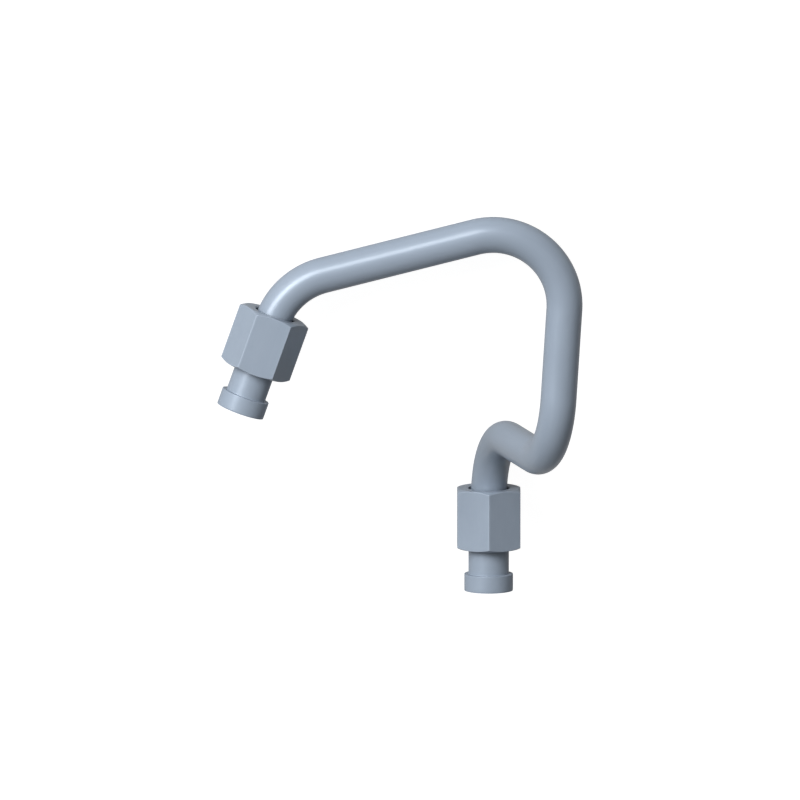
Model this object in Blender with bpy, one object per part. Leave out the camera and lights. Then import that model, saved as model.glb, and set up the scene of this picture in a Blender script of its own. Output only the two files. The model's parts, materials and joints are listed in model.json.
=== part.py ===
# Drain tube: a round steel tube with four bends. Each end is flared and carries a
# loose flare sleeve and a hexagon nut, which is slid back against the first bend.
# Metres, +Z up. The tube lies as it comes to rest, centred on the origin.

import math

import bmesh
import bpy
from mathutils import Matrix, Vector

# Tube stock
TUBE_OD = 0.0127
TUBE_WALL = 0.00124
BEND_RADIUS = 0.0254

# Straight lengths between the bends, from the left mouth to the right mouth
LEFT_STRAIGHT = 0.0341
TOP_STRAIGHT = 0.0552
DROP_STRAIGHT = 0.0320
CROSS_STRAIGHT = 0.0326
RIGHT_STRAIGHT = 0.0322

# How far each bend turns, and how far its plane is turned from the one before it
LEFT_BEND = math.radians(56.5)
TOP_BEND = math.radians(107.5)
LOW_BEND = math.radians(88.5)
HOOK_BEND = math.radians(91.0)
TOP_PLANE = math.radians(1.0)
LOW_PLANE = math.radians(76.5)
HOOK_PLANE = math.radians(177.0)

# Flare at each mouth
FLARE_ANGLE = math.radians(37.0)
FLARE_FILLET = 0.0015
FLARE_INSET = 0.00028

# Flare sleeve
SLEEVE_FIT = 0.0002
SLEEVE_LENGTH = 0.0162
SHANK_WALL = 0.00057
HEAD_LENGTH = 0.0059
HEAD_STEP = 0.00146
HEAD_BREAK = 0.0004
SHANK_BREAK = 0.0002

# Hexagon nut
NUT_LENGTH = 0.0219
NUT_WALL = 0.00235
THREAD_FIT = 0.00018
REAR_FIT = 0.00015
THREAD_DEPTH = 0.0128
SHOULDER_ANGLE = math.radians(45.0)
MOUTH_CHAMFER = 0.0008
REAR_BREAK = 0.0003
CORNER_ANGLE = math.radians(30.0)
CORNER_RING = 0.0010
LEFT_NUT_PAST_BEND = 0.0024
RIGHT_NUT_PAST_BEND = 0.0043
LEFT_NUT_TURN = math.radians(27.0)
RIGHT_NUT_TURN = math.radians(0.0)

# Sides of the round forms
TUBE_SIDES = 24
SLEEVE_SIDES = 36
NUT_SIDES = 48
BEND_STEP = math.radians(7.0)
FILLET_STEPS = 3

# Sizes that follow from the ones above
TUBE_RADIUS = TUBE_OD / 2
SHANK_RADIUS = TUBE_RADIUS + SLEEVE_FIT + SHANK_WALL
HEAD_RADIUS = SHANK_RADIUS + HEAD_STEP
FLARE_RADIUS = HEAD_RADIUS - FLARE_INSET
REAR_RADIUS = SHANK_RADIUS + REAR_FIT
THREAD_RADIUS = HEAD_RADIUS + THREAD_FIT
HEX_FLATS = 2 * (THREAD_RADIUS + NUT_WALL)


def clear_scene():
    for thing in list(bpy.data.objects):
        bpy.data.objects.remove(thing, do_unlink=True)


def steel(name, colour, roughness, metallic):
    material = bpy.data.materials.new(name)
    material.use_nodes = True
    shader = material.node_tree.nodes["Principled BSDF"]
    shader.inputs["Base Color"].default_value = (*colour, 1.0)
    shader.inputs["Roughness"].default_value = roughness
    shader.inputs["Metallic"].default_value = metallic
    return material


def add_object(name, mesh_data, place, material=None):
    piece = bpy.data.objects.new(name, mesh_data)
    bpy.context.scene.collection.objects.link(piece)
    piece.matrix_world = place
    if material:
        mesh_data.materials.append(material)
    return piece


def finished_mesh(name, bm, sharp=math.radians(25.0)):
    bmesh.ops.recalc_face_normals(bm, faces=bm.faces)
    data = bpy.data.meshes.new(name)
    bm.to_mesh(data)
    bm.free()
    data.shade_smooth()
    data.set_sharp_from_angle(angle=sharp)
    return data


def flare_profile(bore_radius, mouth_radius, fillet):
    """(distance from the mouth, radius) down the cone, round the fillet and on to the straight."""
    corner = (mouth_radius - bore_radius) / math.tan(FLARE_ANGLE)
    reach = fillet * math.tan(FLARE_ANGLE / 2)
    points = [(0.0, mouth_radius)]
    for k in range(FILLET_STEPS + 1):
        a = FLARE_ANGLE * (1 - k / FILLET_STEPS)
        along = corner + reach - fillet * math.sin(a)
        points.append((along, bore_radius + fillet - fillet * math.cos(a)))
    return points


def bend_arc(turn, plane):
    """Steps round one bend, each as a move from the bend's start."""
    steps = max(2, math.ceil(turn / BEND_STEP))
    into = Matrix.Rotation(plane, 4, "Z") @ Matrix.Translation((BEND_RADIUS, 0, 0))
    for k in range(1, steps + 1):
        yield into @ Matrix.Rotation(turn * k / steps, 4, "Y") @ into.inverted()


def centre_line():
    """Places at which the tube's ring is drawn, each with local +Z along the tube."""
    straights = (LEFT_STRAIGHT, TOP_STRAIGHT, DROP_STRAIGHT, CROSS_STRAIGHT)
    bends = (LEFT_BEND, TOP_BEND, LOW_BEND, HOOK_BEND)
    planes = (0.0, TOP_PLANE, LOW_PLANE, HOOK_PLANE)
    here = Matrix.Identity(4)
    plane = 0.0
    places = []
    for straight, turn, plane_turn in zip(straights, bends, planes):
        here = here @ Matrix.Translation((0, 0, straight))
        plane += plane_turn
        places.append(here)
        places.extend(here @ move for move in bend_arc(turn, plane))
        here = places[-1]
    return places, here @ Matrix.Translation((0, 0, RIGHT_STRAIGHT))


def ring_of_vertices(bm, place, radius, sides):
    """A ring whose flats, not its corners, lie at the radius."""
    corner = radius / math.cos(math.pi / sides)
    ring = []
    for k in range(sides):
        a = 2 * math.pi * k / sides
        ring.append(bm.verts.new(place @ Vector((corner * math.cos(a), corner * math.sin(a), 0))))
    return ring


def join_rings(bm, rings):
    for first, second in zip(rings, rings[1:]):
        for k in range(len(first)):
            n = (k + 1) % len(first)
            bm.faces.new((first[k], first[n], second[n], second[k]))


def tube_skin(bm, places, last, profile, radius):
    """One skin of the tube, inner or outer, with a flare at both ends."""
    rings = []
    for along, r in profile:
        rings.append(ring_of_vertices(bm, Matrix.Translation((0, 0, along)), r, TUBE_SIDES))
    for place in places:
        rings.append(ring_of_vertices(bm, place, radius, TUBE_SIDES))
    for along, r in reversed(profile):
        rings.append(ring_of_vertices(bm, last @ Matrix.Translation((0, 0, -along)), r, TUBE_SIDES))
    join_rings(bm, rings)
    return rings


def bent_tube(material):
    places, last = centre_line()
    rim_width = TUBE_WALL / math.cos(FLARE_ANGLE)
    outer = flare_profile(TUBE_RADIUS, FLARE_RADIUS, FLARE_FILLET)
    inner = flare_profile(TUBE_RADIUS - TUBE_WALL, FLARE_RADIUS - rim_width, FLARE_FILLET + TUBE_WALL)
    bm = bmesh.new()
    outside = tube_skin(bm, places, last, outer, TUBE_RADIUS)
    inside = tube_skin(bm, places, last, inner, TUBE_RADIUS - TUBE_WALL)
    join_rings(bm, [outside[0], inside[0]])
    join_rings(bm, [outside[-1], inside[-1]])
    tube = add_object("bent_tube", finished_mesh("bent_tube", bm), Matrix.Identity(4), material)
    return tube, last @ Matrix.Rotation(math.pi, 4, "X")


def turned_mesh(name, profile, sides):
    """A closed (radius, height) outline turned about Z, its flats at the given radii."""
    bm = bmesh.new()
    wider = 1 / math.cos(math.pi / sides)
    outline = [bm.verts.new((r * wider, 0, z)) for r, z in profile]
    edges = [bm.edges.new((a, b)) for a, b in zip(outline, outline[1:] + outline[:1])]
    bmesh.ops.spin(
        bm,
        geom=outline + edges,
        axis=(0, 0, 1),
        cent=(0, 0, 0),
        angle=2 * math.pi,
        steps=sides,
        use_merge=True,
    )
    on_axis = [v for v in bm.verts if v.co.xy.length < 1e-7]
    bmesh.ops.remove_doubles(bm, verts=on_axis, dist=1e-6)
    return finished_mesh(name, bm)


def flare_sleeve(name, end, material):
    """Turned sleeve: a head that backs the flare, and a shank under the nut's rear bore."""
    bore = TUBE_RADIUS + SLEEVE_FIT
    mouth = FLARE_RADIUS + SLEEVE_FIT / math.cos(FLARE_ANGLE)
    cone = flare_profile(bore, mouth, FLARE_FILLET - SLEEVE_FIT)[1:]
    tail = SLEEVE_LENGTH
    profile = [(mouth, 0.0), (HEAD_RADIUS - HEAD_BREAK, 0.0), (HEAD_RADIUS, HEAD_BREAK)]
    profile += [(HEAD_RADIUS, HEAD_LENGTH), (SHANK_RADIUS, HEAD_LENGTH)]
    profile += [(SHANK_RADIUS, tail - SHANK_BREAK), (SHANK_RADIUS - SHANK_BREAK, tail), (bore, tail)]
    profile += [(r, z) for z, r in reversed(cone)]
    return add_object(name, turned_mesh(name, profile, SLEEVE_SIDES), end, material)


def hex_prism_mesh(name):
    bm = bmesh.new()
    across_corners = HEX_FLATS / math.cos(math.pi / 6)
    bmesh.ops.create_cone(
        bm,
        cap_ends=True,
        segments=6,
        radius1=across_corners / 2,
        radius2=across_corners / 2,
        depth=NUT_LENGTH,
        matrix=Matrix.Translation((0, 0, NUT_LENGTH / 2)),
    )
    return finished_mesh(name, bm)


def cutter(name, profile, nut, operation):
    """A turned helper that shapes the nut and isn't drawn."""
    helper = add_object(name, turned_mesh(name, profile, NUT_SIDES), Matrix.Identity(4))
    helper.parent = nut
    helper.hide_render = True
    helper.display_type = "WIRE"
    boolean = nut.modifiers.new(name, "BOOLEAN")
    boolean.operation = operation
    boolean.solver = "EXACT"
    boolean.object = helper


def hex_nut(name, end, setback, turn, material):
    """Hexagon bar stock, its corners turned off at both ends, bored for thread and sleeve."""
    place = end @ Matrix.Translation((0, 0, setback)) @ Matrix.Rotation(turn, 4, "Z")
    nut = add_object(name, hex_prism_mesh(name), place, material)
    ring = HEX_FLATS / 2 - CORNER_RING
    wide = HEX_FLATS
    fall = (wide - ring) * math.tan(CORNER_ANGLE)
    corners = [(0, 0), (ring, 0), (wide, fall), (wide, NUT_LENGTH - fall), (ring, NUT_LENGTH), (0, NUT_LENGTH)]
    cutter(name + "_corners", corners, nut, "INTERSECT")
    beyond = NUT_LENGTH / 4
    shoulder = (THREAD_RADIUS - REAR_RADIUS) / math.tan(SHOULDER_ANGLE)
    bore = [(0, -beyond), (THREAD_RADIUS + MOUTH_CHAMFER + beyond, -beyond)]
    bore += [(THREAD_RADIUS, MOUTH_CHAMFER), (THREAD_RADIUS, THREAD_DEPTH)]
    bore += [(REAR_RADIUS, THREAD_DEPTH + shoulder), (REAR_RADIUS, NUT_LENGTH - REAR_BREAK)]
    bore += [(REAR_RADIUS + REAR_BREAK + beyond, NUT_LENGTH + beyond), (0, NUT_LENGTH + beyond)]
    cutter(name + "_bore", bore, nut, "DIFFERENCE")
    return nut


def world_mesh(piece, graph):
    """The piece's finished vertices and triangles in world space."""
    evaluated = piece.evaluated_get(graph)
    data = evaluated.to_mesh()
    data.calc_loop_triangles()
    points = [piece.matrix_world @ v.co for v in data.vertices]
    triangles = [tuple(t.vertices) for t in data.loop_triangles]
    evaluated.to_mesh_clear()
    return points, triangles


def centre_of_mass(meshes):
    volume = 0.0
    moment = Vector()
    for points, triangles in meshes:
        for i, j, k in triangles:
            share = points[i].dot(points[j].cross(points[k])) / 6
            volume += share
            moment += share * (points[i] + points[j] + points[k]) / 4
    return moment / volume


def stands_over(face, centre):
    """Whether the centre of mass is straight above this face of the hull."""
    corners = [loop.vert.co for loop in face.loops]
    foot = centre + face.normal * (corners[0] - centre).dot(face.normal)
    for a, b in zip(corners, corners[1:] + corners[:1]):
        if (b - a).cross(foot - a).dot(face.normal) < 0:
            return False
    return True


def resting_place(pieces, ends):
    """Turns the tube on to the hull face that carries it lowest, mouths towards -X."""
    bpy.context.view_layer.update()
    graph = bpy.context.evaluated_depsgraph_get()
    meshes = [world_mesh(piece, graph) for piece in pieces]
    centre = centre_of_mass(meshes)
    hull = bmesh.new()
    for points, _ in meshes:
        for point in points:
            hull.verts.new(point)
    bmesh.ops.convex_hull(hull, input=hull.verts, use_existing_faces=False)
    hull.normal_update()
    stable = [face for face in hull.faces if stands_over(face, centre)]
    lowest = min(stable, key=lambda face: (face.verts[0].co - centre).dot(face.normal))
    settle = lowest.normal.rotation_difference(Vector((0, 0, -1))).to_matrix().to_4x4()
    hull.free()
    inward = settle.to_3x3() @ sum((end.to_3x3() @ Vector((0, 0, 1)) for end in ends), Vector())
    face_mouths = Matrix.Rotation(-math.atan2(inward.y, inward.x), 4, "Z")
    lay = face_mouths @ settle
    laid = [lay @ point for points, _ in meshes for point in points]
    low = [min(point[axis] for point in laid) for axis in range(3)]
    high = [max(point[axis] for point in laid) for axis in range(3)]
    middle = Vector(((low[0] + high[0]) / 2, (low[1] + high[1]) / 2, low[2]))
    return Matrix.Translation(-middle) @ lay


def build():
    clear_scene()
    tube_steel = steel("tube_steel", (0.33, 0.40, 0.48), 0.38, 0.6)
    sleeve_steel = steel("sleeve_steel", (0.34, 0.41, 0.49), 0.36, 0.6)
    nut_steel = steel("nut_steel", (0.32, 0.39, 0.46), 0.40, 0.6)
    tube, right_end = bent_tube(tube_steel)
    left_end = Matrix.Identity(4)
    left_setback = LEFT_STRAIGHT + LEFT_NUT_PAST_BEND - NUT_LENGTH
    right_setback = RIGHT_STRAIGHT + RIGHT_NUT_PAST_BEND - NUT_LENGTH
    pieces = [
        tube,
        flare_sleeve("left_sleeve", left_end, sleeve_steel),
        flare_sleeve("right_sleeve", right_end, sleeve_steel),
        hex_nut("left_nut", left_end, left_setback, LEFT_NUT_TURN, nut_steel),
        hex_nut("right_nut", right_end, right_setback, RIGHT_NUT_TURN, nut_steel),
    ]
    lay = resting_place(pieces, (left_end, right_end))
    for piece in pieces:
        piece.matrix_world = lay @ piece.matrix_world


build()
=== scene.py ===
import json
import math

import bmesh
import bpy
from mathutils import Matrix, Vector


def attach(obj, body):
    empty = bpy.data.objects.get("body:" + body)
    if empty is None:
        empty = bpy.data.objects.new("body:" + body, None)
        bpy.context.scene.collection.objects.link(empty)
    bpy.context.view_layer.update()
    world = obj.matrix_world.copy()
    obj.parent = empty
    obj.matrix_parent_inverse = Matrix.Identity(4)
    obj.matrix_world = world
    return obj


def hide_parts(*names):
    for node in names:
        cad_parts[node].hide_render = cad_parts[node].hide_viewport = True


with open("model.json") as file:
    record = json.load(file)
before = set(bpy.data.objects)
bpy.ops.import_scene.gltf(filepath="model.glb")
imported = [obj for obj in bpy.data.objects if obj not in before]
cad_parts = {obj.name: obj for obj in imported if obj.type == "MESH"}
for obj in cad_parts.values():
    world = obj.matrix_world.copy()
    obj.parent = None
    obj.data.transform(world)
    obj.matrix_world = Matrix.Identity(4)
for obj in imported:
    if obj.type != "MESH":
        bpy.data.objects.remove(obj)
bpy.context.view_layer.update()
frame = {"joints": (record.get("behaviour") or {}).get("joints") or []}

# Drain tube: bent steel tube, flared at both ends, with a loose sleeve and a hexagon nut on each end.
# Each piece is made round its own z axis, which runs inwards from a mouth, and is then put in its place.
# Where each point was on that axis, before any bending, stays on the mesh as "stock" and carries the finish.


class Wire:  # an output socket that can be used in sums
    def __init__(self, tree, socket=None):
        self.tree = tree
        self.socket = socket

    def node(self, kind, settings, values, output=0):  # settings first, then values or wires
        made = self.tree.nodes.new(kind)
        for name, setting in settings.items():
            setattr(made, name, setting)
        for name, value in values.items():
            if isinstance(value, Wire):
                self.tree.links.new(value.socket, made.inputs[name])
            else:
                made.inputs[name].default_value = value
        return Wire(self.tree, made.outputs[output]) if made.outputs else None

    def side(self, name):  # another output of the same node
        return Wire(self.tree, self.socket.node.outputs[name])

    def parts(self):  # a vector's x, y and z
        x = self.node("ShaderNodeSeparateXYZ", {}, {"Vector": self})
        return x, x.side("Y"), x.side("Z")

    def maths(self, operation, *values):
        start = next(value for value in (self, *values) if isinstance(value, Wire))
        return start.node("ShaderNodeMath", {"operation": operation}, dict(enumerate(values)))

    def __add__(self, other):
        return self.maths("ADD", self, other)

    def __radd__(self, other):
        return self.maths("ADD", other, self)

    def __sub__(self, other):
        return self.maths("SUBTRACT", self, other)

    def __rsub__(self, other):
        return self.maths("SUBTRACT", other, self)

    def __mul__(self, other):
        return self.maths("MULTIPLY", self, other)

    def __rmul__(self, other):
        return self.maths("MULTIPLY", other, self)

    def __truediv__(self, other):
        return self.maths("DIVIDE", self, other)

    def root(self):
        return self.maths("SQRT", self)

    def least(self, other):
        return self.maths("MINIMUM", self, other)

    def most(self, other):
        return self.maths("MAXIMUM", self, other)

    def held(self):  # kept between 0 and 1
        return self.least(1.0).most(0.0)


def emptyTree(owner):  # clears the nodes of a material or world, and gives a wire to start from
    owner.use_nodes = True
    owner.node_tree.nodes.clear()
    return Wire(owner.node_tree)


# What the tube, the sleeves and the nuts have to share, in metres
fit = {
    "tubeRadius": 0.00635,
    "wall": 0.00124,
    "flareAngle": math.radians(37.0),
    "flareFillet": 0.0015,
    "flareRadius": 0.0083,
    "headRadius": 0.00858,
    "shankRadius": 0.00712,
    "sleeveGap": 0.0002,
    "sharpFrom": math.radians(23.5),  # edges that turn by more stay sharp
    "edgeSegments": 3,  # across a softened edge of a nut
    "guard": 3,  # a ring this many softnesses from an edge keeps the face beside it flat in the light
    "guardRoom": 5,  # no such ring where the next edge is nearer than this
}


# How round forms are made

def flareOutline(bore, mouth, fillet, steps=10):  # (radius, z) down the cone and round on to the straight
    angle = fit["flareAngle"]
    corner = (mouth - bore) / math.tan(angle)
    reach = fillet * math.tan(angle / 2)
    points = [(mouth, 0.0)]
    for k in range(steps + 1):
        a = angle * (1 - k / steps)
        points.append((bore + fillet - fillet * math.cos(a), corner + reach - fillet * math.sin(a)))
    return points


def softened(outline, steps=5):  # a point given as (radius, z, softness) gets a small round
    points = []
    for n, (r, z, *soft) in enumerate(outline):
        here = Vector((r, z))
        if not soft:
            points.append((r, z))
            continue
        ways = [Vector(outline[(n + k) % len(outline)][:2]) - here for k in (-1, 1)]
        room, reach = fit["guardRoom"] * soft[0], fit["guard"]
        guards = [[here + way.normalized() * reach * soft[0]] if way.length > room else [] for way in ways]
        first, last = (here + way.normalized() * soft[0] for way in ways)
        shares = [k / steps for k in range(steps + 1)]
        bow = [first * (1 - t) ** 2 + here * (2 * t * (1 - t)) + last * t ** 2 for t in shares]
        points += [tuple(point) for point in guards[0] + bow + guards[1]]
    return points


def turnedPoint(r, angle, z):
    return r * math.cos(angle), r * math.sin(angle), z


def turnedMesh(name, outline, sides):  # a closed outline turned about z
    bm = bmesh.new()
    turns = [2 * math.pi * k / sides for k in range(sides)]
    rings = [[bm.verts.new(turnedPoint(r, a, z)) for a in turns] for r, z in outline]
    for ring, following in zip(rings, rings[1:] + rings[:1]):
        for k in range(sides):
            m = (k + 1) % sides
            bm.faces.new((ring[k], ring[m], following[m], following[k]))
    return plainMesh(name, bm)


def plainMesh(name, bm):
    bmesh.ops.recalc_face_normals(bm, faces=bm.faces)
    data = bpy.data.meshes.new(name)
    bm.to_mesh(data)
    bm.free()
    return data


def looseObject(name, data):
    thing = bpy.data.objects.new(name, data)
    bpy.context.scene.collection.objects.link(thing)
    return thing


# Geometry Nodes

def newGroup(name, sockets):  # the group, and its inputs as wires
    tree = bpy.data.node_groups.new(name, "GeometryNodeTree")
    tree.interface.new_socket("Geometry", in_out="OUTPUT", socket_type="NodeSocketGeometry")
    tree.interface.new_socket("Geometry", in_out="INPUT", socket_type="NodeSocketGeometry")
    for label, kind in sockets.items():
        tree.interface.new_socket(label, in_out="INPUT", socket_type="NodeSocket" + kind)
    given = Wire(tree).node("NodeGroupInput", {}, {})
    return tree, {label: given.side(label) for label in ("Geometry", *sockets)}


def closeGroup(geometry, finish):
    whole = geometry.node("GeometryNodeRealizeInstances", {}, {"Geometry": geometry})
    painted = whole.node("GeometryNodeSetMaterial", {}, {"Geometry": whole, "Material": finish})
    painted.node("NodeGroupOutput", {}, {"Geometry": painted})


def keepStock(geometry):  # remembers where each point is before it moves
    here = geometry.node("GeometryNodeInputPosition", {}, {})
    kept = {"Geometry": geometry, "Name": "stock", "Value": here}
    return geometry.node("GeometryNodeStoreNamedAttribute", {"data_type": "FLOAT_VECTOR"}, kept)


def shapedMesh(name, raw, tree, settings, soft=0.0):  # runs the group on a mesh and keeps the result
    thing = looseObject(name + "_raw", raw)
    if soft:
        bevel = thing.modifiers.new("edges", "BEVEL")
        bevel.limit_method = "WEIGHT"
        bevel.width = soft
        bevel.segments = fit["edgeSegments"]
    shape = thing.modifiers.new("shape", "NODES")
    shape.node_group = tree
    for item in tree.interface.items_tree:
        if item.in_out == "INPUT" and item.name in settings:
            shape[item.identifier] = settings[item.name]
    bpy.context.view_layer.update()
    graph = bpy.context.evaluated_depsgraph_get()
    data = bpy.data.meshes.new_from_object(thing.evaluated_get(graph), depsgraph=graph)
    thing.modifiers.clear()
    bpy.data.objects.remove(thing)
    data.name = name
    return data


def finishedPiece(name, data, place, body, node):
    data.transform(place)
    data.shade_smooth()
    data.set_sharp_from_angle(angle=fit["sharpFrom"])
    piece = looseObject(name, data)
    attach(piece, body)
    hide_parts(node)
    print("made", name, len(data.vertices), "points")


# Finishes

metal = {
    "colour": (0.250, 0.297, 0.361, 1.0),
    "worn": (0.294, 0.346, 0.417, 1.0),
    "dull": (0.233, 0.278, 0.340, 1.0),
    "metallic": 0.20,
    "roughness": 0.36,
    "reflection": 0.35,
    "coat": 0.35,
    "sleeveCoat": 0.08,
    "coatRoughness": 0.17,
    "bumpStrength": 0.5,
    "bumpDepth": 0.00002,
    "dullest": 0.35,  # noise at or below this is all dull
    "contrast": 2.2,
}


def newFinish(name):  # the material, and where a point is on the stock
    material = bpy.data.materials.new(name)
    return material, emptyTree(material).node("ShaderNodeAttribute", {"attribute_name": "stock"}, {}, "Vector")


def noiseOn(place, around, along, detail):  # features that wide across the stock, and that long on it
    scale = (1 / around, 1 / around, 1 / along)
    drawn = place.node("ShaderNodeMapping", {}, {"Vector": place, "Scale": scale})
    values = {"Vector": drawn, "Scale": 1.0, "Detail": detail, "Roughness": 0.55}
    return drawn.node("ShaderNodeTexNoise", {}, values)


def ringsOn(radius, z, width):  # turned rings, each that wide
    across = radius.node("ShaderNodeCombineXYZ", {}, {"X": radius / width, "Y": 0.0, "Z": z / width})
    values = {"Vector": across, "Scale": 1.0, "Detail": 2.0, "Roughness": 0.6}
    return across.node("ShaderNodeTexNoise", {}, values)


def mixed(amount, first, second):  # 6, 7 and 2 are the Mix node's colour sockets
    return amount.node("ShaderNodeMix", {"data_type": "RGBA"}, {"Factor": amount, 6: first, 7: second}, 2)


def patchy(clouds, grain, cloudShare):  # the plain colour, dulled in patches
    amount = clouds * cloudShare + grain * (1 - cloudShare) - metal["dullest"]
    return mixed(amount * metal["contrast"], metal["dull"], metal["colour"])


def closeFinish(colour, roughness, height, coat=metal["coat"]):
    bump = {"Strength": metal["bumpStrength"], "Distance": metal["bumpDepth"], "Height": height}
    normal = height.node("ShaderNodeBump", {}, bump)
    values = {
        "Base Color": colour,
        "Roughness": roughness,
        "Normal": normal,
        "Metallic": metal["metallic"],
        "Specular IOR Level": metal["reflection"],
        "Coat Weight": coat,
        "Coat Roughness": metal["coatRoughness"],
    }
    shader = height.node("ShaderNodeBsdfPrincipled", {}, values)
    shader.node("ShaderNodeOutputMaterial", {}, {"Surface": shader})


tubeGrain = {
    "lines": (0.0006, 0.03, 3.0),  # width across the stock, length along it, detail
    "clouds": (0.006, 0.016, 2.0),
    "cloudShare": 0.7,
    "lineRoughness": 0.10,
    "cloudRoughness": 0.08,
}


def drawnSteel():  # tube: faint lines along it, soft cloudy patches
    material, place = newFinish("drawn_tube_steel")
    lines = noiseOn(place, *tubeGrain["lines"])
    clouds = noiseOn(place, *tubeGrain["clouds"])
    colour = patchy(clouds, lines, tubeGrain["cloudShare"])
    roughness = metal["roughness"] + (lines - 0.5) * tubeGrain["lineRoughness"]
    closeFinish(colour, roughness + (clouds - 0.5) * tubeGrain["cloudRoughness"], lines)
    return material


sleeveGrain = {
    "ringWidth": 0.00022,
    "clouds": (0.004, 0.004, 2.0),
    "cloudShare": 0.6,
    "rougher": 0.06,
    "ringRoughness": 0.16,
}


def turnedSteel():  # sleeves: fine rings
    material, place = newFinish("turned_sleeve_steel")
    x, y, z = place.parts()
    rings = ringsOn((x * x + y * y).root(), z, sleeveGrain["ringWidth"])
    clouds = noiseOn(place, *sleeveGrain["clouds"])
    colour = patchy(clouds, rings, sleeveGrain["cloudShare"])
    roughness = metal["roughness"] + sleeveGrain["rougher"] + (rings - 0.5) * sleeveGrain["ringRoughness"]
    closeFinish(colour, roughness, rings, metal["sleeveCoat"])
    return material


nutGrain = {
    "lines": (0.0005, 0.02, 3.0),
    "clouds": (0.005, 0.008, 2.0),
    "cloudShare": 0.7,
    "ringWidth": 0.00025,
    "change": 0.00004,  # width over which the flats' lines give way to the ends' rings
    "wornCorner": 0.00035,  # how far in from a corner the rubbing starts
    "wornWidth": 0.0003,
    "wornLeast": 0.35,
    "wornClouds": 0.5,
    "rougher": 0.02,
    "grainRoughness": 0.12,
    "wornRoughness": 0.08,
}


def machinedSteel(nut):  # nuts: lines along the flats, rings on the turned ends, corners rubbed bright
    material, place = newFinish("machined_nut_steel")
    x, y, z = place.parts()
    radius = (x * x + y * y).root()
    fromEnd = z.least(nut["length"] - z)
    cone = (radius - nut["ring"]) * math.tan(nut["coneAngle"])
    onFlat = ((fromEnd - cone) / nutGrain["change"]).held()
    lines = noiseOn(place, *nutGrain["lines"])
    rings = ringsOn(radius, z, nutGrain["ringWidth"])
    grain = lines * onFlat + rings * (1 - onFlat)
    clouds = noiseOn(place, *nutGrain["clouds"])
    corner = ((radius - nut["cornerRadius"] + nutGrain["wornCorner"]) / nutGrain["wornWidth"]).held()
    edge = (1 - (fromEnd - cone) / nutGrain["wornWidth"]).held() * onFlat
    rubbed = (corner.most(edge) * (nutGrain["wornLeast"] + clouds * nutGrain["wornClouds"])).held()
    colour = mixed(rubbed, patchy(clouds, grain, nutGrain["cloudShare"]), metal["worn"])
    roughness = metal["roughness"] + nutGrain["rougher"] + (grain - 0.5) * nutGrain["grainRoughness"]
    closeFinish(colour, roughness - rubbed * nutGrain["wornRoughness"], grain)
    return material


# The tube's route, as bought straight and then bent

tubeSize = {
    "straights": (0.0341, 0.0552, 0.0320, 0.0326, 0.0322),
    "bends": (56.5, 107.5, 88.5, 91.0),
    "planes": (0.0, 1.0, 76.5, 177.0),  # how far each bend's plane is turned from the one before
    "bendRadius": 0.0254,
    "stepsPerBend": 60,
    "sides": 80,
    "ringSpacing": 0.0012,
    "rimSoftness": 0.0002,
}


def route():  # the corners that the bends round off, the far end's place, and the straight length
    here = Matrix.Identity(4)
    corners = [here.translation.copy()]
    plane = length = 0.0
    radius = tubeSize["bendRadius"]
    for straight, bend, turned in zip(tubeSize["straights"], tubeSize["bends"], tubeSize["planes"]):
        turn = math.radians(bend)
        plane += math.radians(turned)
        here = here @ Matrix.Translation((0, 0, straight))
        corners.append(here @ Vector((0, 0, radius * math.tan(turn / 2))))
        into = Matrix.Rotation(plane, 4, "Z") @ Matrix.Translation((radius, 0, 0))
        here = here @ into @ Matrix.Rotation(turn, 4, "Y") @ into.inverted()
        length += straight + radius * turn
    here = here @ Matrix.Translation((0, 0, tubeSize["straights"][-1]))
    corners.append(here.translation.copy())
    return corners, here, length + tubeSize["straights"][-1]


def bendGroup():  # lays a straight tube along the route, with a bend at each corner
    sockets = {"Route": "Object", "Bend radius": "Float", "Steps per bend": "Int", "Stock length": "Float"}
    tree, given = newGroup("bend_tube", {**sockets, "Finish": "Material"})
    straight = keepStock(given["Geometry"])
    drawn = straight.node("GeometryNodeObjectInfo", {}, {"Object": given["Route"]}, "Geometry")
    corners = drawn.node("GeometryNodeMeshToCurve", {}, {"Mesh": drawn})
    rounding = {"Curve": corners, "Count": given["Steps per bend"], "Radius": given["Bend radius"]}
    path = corners.node("GeometryNodeFilletCurve", {"mode": "POLY"}, rounding)
    x, y, z = path.node("GeometryNodeInputPosition", {}, {}).parts()
    sampled = {"Curves": path, "Factor": z / given["Stock length"]}
    centre = path.node("GeometryNodeSampleCurve", {"mode": "FACTOR"}, sampled, "Position")
    across, along = centre.side("Normal"), centre.side("Tangent")
    beside = vectorSum("CROSS_PRODUCT", along, across)
    moved = vectorSum("ADD", centre, vectorSum("ADD", times(across, x), times(beside, y)))
    laid = moved.node("GeometryNodeSetPosition", {}, {"Geometry": straight, "Position": moved})
    closeGroup(laid, given["Finish"])
    return tree


def vectorSum(operation, first, second):
    return first.node("ShaderNodeVectorMath", {"operation": operation}, {0: first, 1: second})


def times(vector, number):
    return vector.node("ShaderNodeVectorMath", {"operation": "SCALE"}, {0: vector, "Scale": number})


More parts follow.
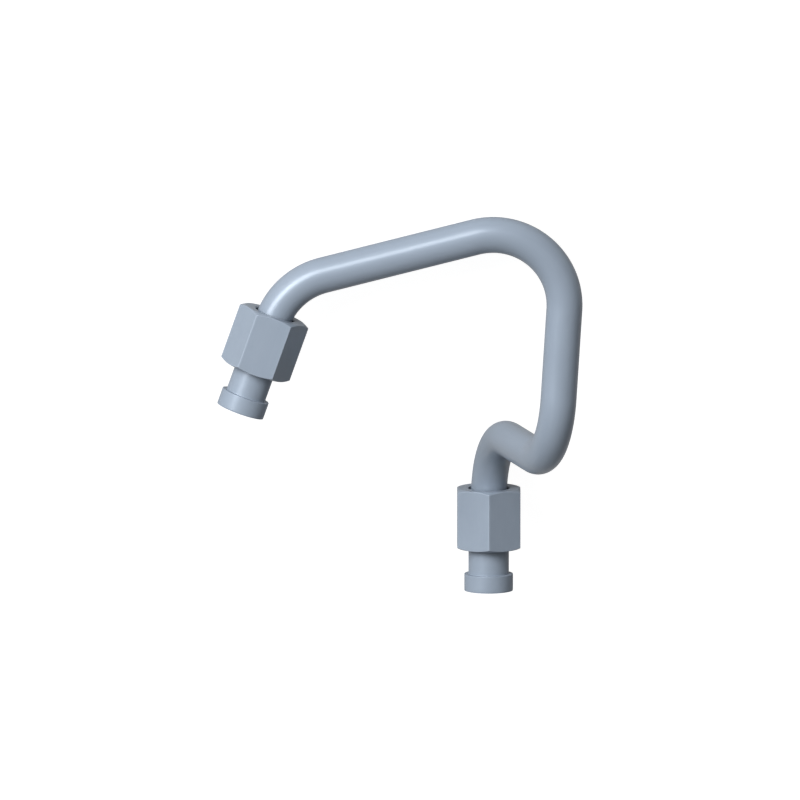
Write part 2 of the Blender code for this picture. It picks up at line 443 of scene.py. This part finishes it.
def tubeOutline(length):
    wide, narrow = fit["tubeRadius"], fit["tubeRadius"] - fit["wall"]
    soft = tubeSize["rimSoftness"]
    innerMouth = fit["flareRadius"] - fit["wall"] / math.cos(fit["flareAngle"])
    outer = flareOutline(wide, fit["flareRadius"], fit["flareFillet"])
    inner = flareOutline(narrow, innerMouth, fit["flareFillet"] + fit["wall"])
    rim = [(*inner[0], soft), (*outer[0], soft)]
    count = round(length / tubeSize["ringSpacing"])
    rings = [length * k / count for k in range(count + 1)]
    start, end = outer[-1][1], inner[-1][1]
    skin = [(wide, z) for z in rings if start < z < length - start]
    bore = [(narrow, z) for z in rings if end < z < length - end]
    far = [(r, length - z, *s) for r, z, *s in reversed(rim)]
    outline = rim + outer[1:] + skin + [(r, length - z) for r, z in reversed(outer[1:])]
    outline += far + [(r, length - z) for r, z in inner[1:]] + bore[::-1] + inner[:0:-1]
    return softened(outline)


def triad(first, second):
    one = first.normalized()
    two = (second - one * second.dot(one)).normalized()
    return Matrix((one, two, one.cross(two))).transposed()


corners, farEnd, stockLength = route()
joints = {joint["name"]: joint for joint in frame["joints"]}
leftMouth, rightMouth = (Vector(joints[name]["pos_m"]) for name in ("left_spin", "right_spin"))
inward = -Vector(joints["left_spin"]["axis"])
turn = triad(inward, rightMouth - leftMouth) @ triad(Vector((0, 0, 1)), corners[-1]).transposed()
leftPlace = Matrix.Translation(leftMouth) @ turn.to_4x4()
rightPlace = leftPlace @ farEnd @ Matrix.Rotation(math.pi, 4, "X")
print("right mouth off by", round((rightPlace.translation - rightMouth).length * 1000, 4), "mm")

routeMesh = bpy.data.meshes.new("route")
routeMesh.from_pydata([tuple(c) for c in corners], [(k, k + 1) for k in range(len(corners) - 1)], [])
routeLine = looseObject("route", routeMesh)
tubeData = shapedMesh(
    "bent_tube",
    turnedMesh("straight_tube", tubeOutline(stockLength), tubeSize["sides"]),
    bendGroup(),
    {
        "Route": routeLine,
        "Bend radius": tubeSize["bendRadius"],
        "Steps per bend": tubeSize["stepsPerBend"],
        "Stock length": stockLength,
        "Finish": drawnSteel(),
    },
)
bpy.data.objects.remove(routeLine)
finishedPiece("drawn_tube", tubeData, leftPlace, "tube", "bent_tube")


# The sleeves

sleeveSize = {
    "length": 0.0162,
    "headLength": 0.0059,
    "frontSoftness": 0.0004,
    "edgeSoftness": 0.00018,
    "sides": 160,
}


def plainGroup():  # keeps the turned shape and gives it its finish
    tree, given = newGroup("turned_piece", {"Finish": "Material"})
    closeGroup(keepStock(given["Geometry"]), given["Finish"])
    return tree


def sleeveOutline():
    gap, length, head = fit["sleeveGap"], sleeveSize["length"], sleeveSize["headLength"]
    bore = fit["tubeRadius"] + gap
    mouth = fit["flareRadius"] + gap / math.cos(fit["flareAngle"])
    soft, front = sleeveSize["edgeSoftness"], sleeveSize["frontSoftness"]
    cone = flareOutline(bore, mouth, fit["flareFillet"] - gap)[1:]
    outline = [(mouth, 0.0), (fit["headRadius"], 0.0, front)]
    outline += [(fit["headRadius"], head, soft), (fit["shankRadius"], head, soft)]
    outline += [(fit["shankRadius"], length, soft), (bore, length, soft)]
    return softened(outline + cone[::-1])


turnedFinish = turnedSteel()
turnedGroup = plainGroup()
for side, place in (("left", leftPlace), ("right", rightPlace)):
    raw = turnedMesh(side + "_turned", sleeveOutline(), sleeveSize["sides"])
    data = shapedMesh(side + "_flare_sleeve", raw, turnedGroup, {"Finish": turnedFinish})
    finishedPiece(side + "_flare_sleeve", data, place, side + "_collar", side + "_sleeve")


# The nuts

nutSize = {
    "length": 0.0214,
    "flats": 0.02222,  # across flats
    "boreRadius": 0.00876,  # thread's minor radius
    "rearRadius": 0.00727,
    "threadDepth": 0.0123,
    "mouthChamfer": 0.0008,
    "rearBreak": 0.0003,
    "ring": 0.0110,  # radius where the turned corners start on the end faces
    "coneAngle": math.radians(25.0),
    "cornerRadius": 0.02222 / 2 / math.cos(math.pi / 6),
    "pitch": 0.0015875,  # 16 threads to the inch
    "grooveDepth": 0.00076,
    "crest": 0.30,  # flat share of one pitch
    "root": 0.125,
    "runOut": 0.0016,
    "edgeSoftness": 0.0001,
    "softenFrom": math.radians(15.0),  # edges that turn by more are softened
    "margin": 0.00001,  # a point this close to the ring or to the thread's end counts as on it
    "mergeWithin": 0.000001,
    "threadSwitch": 1000000.0,  # how sharply the thread stops at its end
    "columns": 180,
    "setback": 0.0151,
    "turns": {"left": 27.0, "right": 0.0},
}


def hexagonRadius(angle):  # flats face 0, 60, 120 ... degrees
    across = (angle + math.pi / 6) % (math.pi / 3) - math.pi / 6
    return nutSize["flats"] / 2 / math.cos(across)


def threadPhases():  # where rows follow the thread, as shares of one pitch
    crest, root = nutSize["crest"] / 2, 0.5 - nutSize["root"] / 2
    flank = (root - crest) / 3
    rising = [0.0, crest, crest + flank, crest + 2 * flank, root]
    return rising + [0.5] + [1 - share for share in rising[:0:-1]]


def nutOutline(angle, rows):  # one column of points: outside first, then up the bore along the thread
    n = nutSize
    length, depth, guard = n["length"], n["threadDepth"], fit["guard"] * n["edgeSoftness"]
    wide = hexagonRadius(angle)
    fall = (wide - n["ring"]) * math.tan(n["coneAngle"])
    outline = [(n["ring"], 0), (wide, fall), (wide, fall + guard)]
    outline += [(wide, length - fall - guard), (wide, length - fall), (n["ring"], length)]
    outline += [(n["ring"] - guard, length), (n["rearRadius"] + n["rearBreak"], length)]
    outline += [(n["rearRadius"], length - n["rearBreak"])]
    outline += [(n["rearRadius"], depth + n["boreRadius"] - n["rearRadius"])]
    share = angle / (2 * math.pi)
    climb = [min(max(n["pitch"] * (row + share), 0.0), depth) for row in reversed(rows)]
    return outline, [(n["boreRadius"] + max(n["mouthChamfer"] - z, 0.0), z) for z in climb]


def nutMesh(name):
    columns, phases = nutSize["columns"], threadPhases()
    turns = math.ceil(nutSize["threadDepth"] / nutSize["pitch"]) + 1
    rows = [whole + share for whole in range(-1, turns) for share in phases]
    bm = bmesh.new()
    weight = bm.edges.layers.float.new("bevel_weight_edge")
    grid = []
    for k in range(columns):
        a = 2 * math.pi * k / columns
        grid.append([[bm.verts.new(turnedPoint(r, a, z)) for r, z in part] for part in nutOutline(a, rows)])
    up = len(phases)  # after a full turn the thread has moved up by one pitch
    shifted = grid[0][1][:1] * up + grid[0][1][:-up]
    grid.append([grid[0][0], shifted])
    for (outside, bore), (nextOutside, nextBore) in zip(grid, grid[1:]):
        this, other = outside + bore, nextOutside + nextBore
        for a in range(len(this)):
            b = (a + 1) % len(this)
            corners = list(dict.fromkeys((this[a], other[a], other[b], this[b])))
            if len(corners) > 2:
                bm.faces.new(corners)
    bmesh.ops.remove_doubles(bm, verts=bm.verts, dist=nutSize["mergeWithin"])
    bmesh.ops.recalc_face_normals(bm, faces=bm.faces)
    for edge in bm.edges:
        outer = min(v.co.xy.length for v in edge.verts) > nutSize["ring"] + nutSize["margin"]
        if outer and edge.calc_face_angle(0.0) > nutSize["softenFrom"]:
            edge[weight] = 1.0
    return plainMesh(name, bm)


def threadGroup():  # presses the bore outwards along a helix
    lengths = ("Thread pitch", "Groove depth", "Minor radius", "Thread end", "Run-out")
    floats = dict.fromkeys((*lengths, "Crest share", "Root share"), "Float")
    tree, given = newGroup("nut_thread", {**floats, "Finish": "Material"})
    geometry = given["Geometry"]
    x, y, z = geometry.node("GeometryNodeInputPosition", {}, {}).parts()
    radius = (x * x + y * y).root()
    turned = y.maths("ARCTAN2", y, x) * (1 / (2 * math.pi))
    fromCrest = z.maths("PINGPONG", z / given["Thread pitch"] - turned, 0.5)
    flank = 0.5 - given["Root share"] * 0.5 - given["Crest share"] * 0.5
    depth = ((fromCrest - given["Crest share"] * 0.5) / flank).held()
    left = given["Thread end"] - z
    groove = given["Groove depth"] * depth * (left / given["Run-out"]).held()
    threaded = ((left + nutSize["margin"]) * nutSize["threadSwitch"]).held()
    wider = radius.most((given["Minor radius"] + groove) * threaded) / radius
    parts = {"X": x * wider, "Y": y * wider, "Z": z}
    moved = wider.node("ShaderNodeCombineXYZ", {}, parts)
    cut = moved.node("GeometryNodeSetPosition", {}, {"Geometry": geometry, "Position": moved})
    closeGroup(keepStock(cut), given["Finish"])
    return tree


nutFinish = machinedSteel(nutSize)
nutGroup = threadGroup()
nutSettings = {
    "Thread pitch": nutSize["pitch"],
    "Groove depth": nutSize["grooveDepth"],
    "Minor radius": nutSize["boreRadius"],
    "Thread end": nutSize["threadDepth"],
    "Run-out": nutSize["runOut"],
    "Crest share": nutSize["crest"],
    "Root share": nutSize["root"],
    "Finish": nutFinish,
}
for side, end in (("left", leftPlace), ("right", rightPlace)):
    turned = Matrix.Rotation(math.radians(nutSize["turns"][side]), 4, "Z")
    place = end @ Matrix.Translation((0, 0, nutSize["setback"])) @ turned
    blank = nutMesh(side + "_blank")
    data = shapedMesh(side + "_hex_nut", blank, nutGroup, nutSettings, nutSize["edgeSoftness"])
    finishedPiece(side + "_hex_nut", data, place, side + "_coupling", side + "_nut")


# The floor, lights and camera

studio = {
    "floorSize": 8.0,
    "floorRoughness": 0.50,
    "floor": ((0.50, 0.50, 0.50, 1.0), 0.12),  # colour and glow that light the part
    "paper": ((0.32, 0.32, 0.32, 1.0), 0.91),  # colour and glow that the camera sees
    "roomGlow": 0.215,
    "backdrop": (1.0, 1.0, 1.0, 1.0),
    "softboxes": (  # direction from the part, distance, width, height, glow, whether gloss shows it
        ("key", (0.628, 0.740, 0.242), 3.0, 1.5, 1.25, 13.8, False),
        ("shine", (0.762, 0.632, 0.139), 3.0, 1.5, 1.25, 7.2, True),
        ("glint", (0.415, 0.877, 0.242), 3.0, 1.5, 1.25, 7.4, True),
        ("back", (-0.927, -0.332, 0.175), 3.0, 1.5, 1.0, 5.0, False),
    ),
}

view = {
    "right": (0.346826, -0.919729, 0.183874),
    "up": (0.660419, 0.100265, -0.744173),
    "back": (0.666001, 0.379532, 0.642182),
    "lookAt": (0.022217, 0.011800, 0.041016),
    "width": 0.28184,
    "distance": 0.9,
    "nearest": 0.01,
    "farthest": 50.0,
}


def studioFloor():
    half = studio["floorSize"] / 2
    data = bpy.data.meshes.new("floor")
    sheet = [(-half, -half, 0), (half, -half, 0), (half, half, 0), (-half, half, 0)]
    data.from_pydata(sheet, [], [(0, 1, 2, 3)])
    material = bpy.data.materials.new("floor_paper")
    start = emptyTree(material)
    seen = start.node("ShaderNodeLightPath", {}, {})
    paper = [start.node("ShaderNodeBsdfPrincipled", {}, {
        "Base Color": colour,
        "Roughness": studio["floorRoughness"],
        "Emission Color": (1.0, 1.0, 1.0, 1.0),
        "Emission Strength": glow,
    }) for colour, glow in (studio["floor"], studio["paper"])]
    both = start.node("ShaderNodeMixShader", {}, {0: seen, 1: paper[0], 2: paper[1]})
    below = start.node("ShaderNodeNewGeometry", {}, {}).side("Backfacing")  # see-through from underneath
    clear = start.node("ShaderNodeBsdfTransparent", {}, {})
    whole = start.node("ShaderNodeMixShader", {}, {0: below, 1: both, 2: clear})
    whole.node("ShaderNodeOutputMaterial", {}, {"Surface": whole})
    data.materials.append(material)
    floor = looseObject("floor", data)


def softbox(name, direction, distance, width, height, glow, shines):
    lamp = bpy.data.lights.new(name, "AREA")
    lamp.shape = "RECTANGLE"
    lamp.size, lamp.size_y = width, height
    lamp.energy = glow * math.pi * width * height
    box = looseObject(name, lamp)
    box.visible_glossy = shines
    away = Vector(direction).normalized()
    box.location = away * distance
    box.rotation_euler = away.to_track_quat("Z", "Y").to_euler()


def room():
    world = bpy.data.worlds.new("room")
    bpy.context.scene.world = world
    start = emptyTree(world)
    seen = start.node("ShaderNodeLightPath", {}, {})
    light = start.node("ShaderNodeBackground", {}, {"Color": (1, 1, 1, 1), "Strength": studio["roomGlow"]})
    backdrop = start.node("ShaderNodeBackground", {}, {"Color": studio["backdrop"], "Strength": 1.0})
    both = start.node("ShaderNodeMixShader", {}, {0: seen, 1: light, 2: backdrop})
    both.node("ShaderNodeOutputWorld", {}, {"Surface": both})


def camera():
    lens = bpy.data.cameras.new("camera")
    lens.type = "ORTHO"
    lens.ortho_scale = view["width"]
    lens.clip_start, lens.clip_end = view["nearest"], view["farthest"]
    seen = looseObject("camera", lens)
    turned = Matrix([view["right"], view["up"], view["back"]]).transposed().to_4x4()
    place = Vector(view["lookAt"]) + Vector(view["back"]) * view["distance"]
    seen.matrix_world = Matrix.Translation(place) @ turned
    bpy.context.scene.camera = seen
    bpy.context.scene.view_settings.view_transform = "Standard"


studioFloor()
for box in studio["softboxes"]:
    softbox(*box)
room()
camera()
print("made the floor, lights and camera")
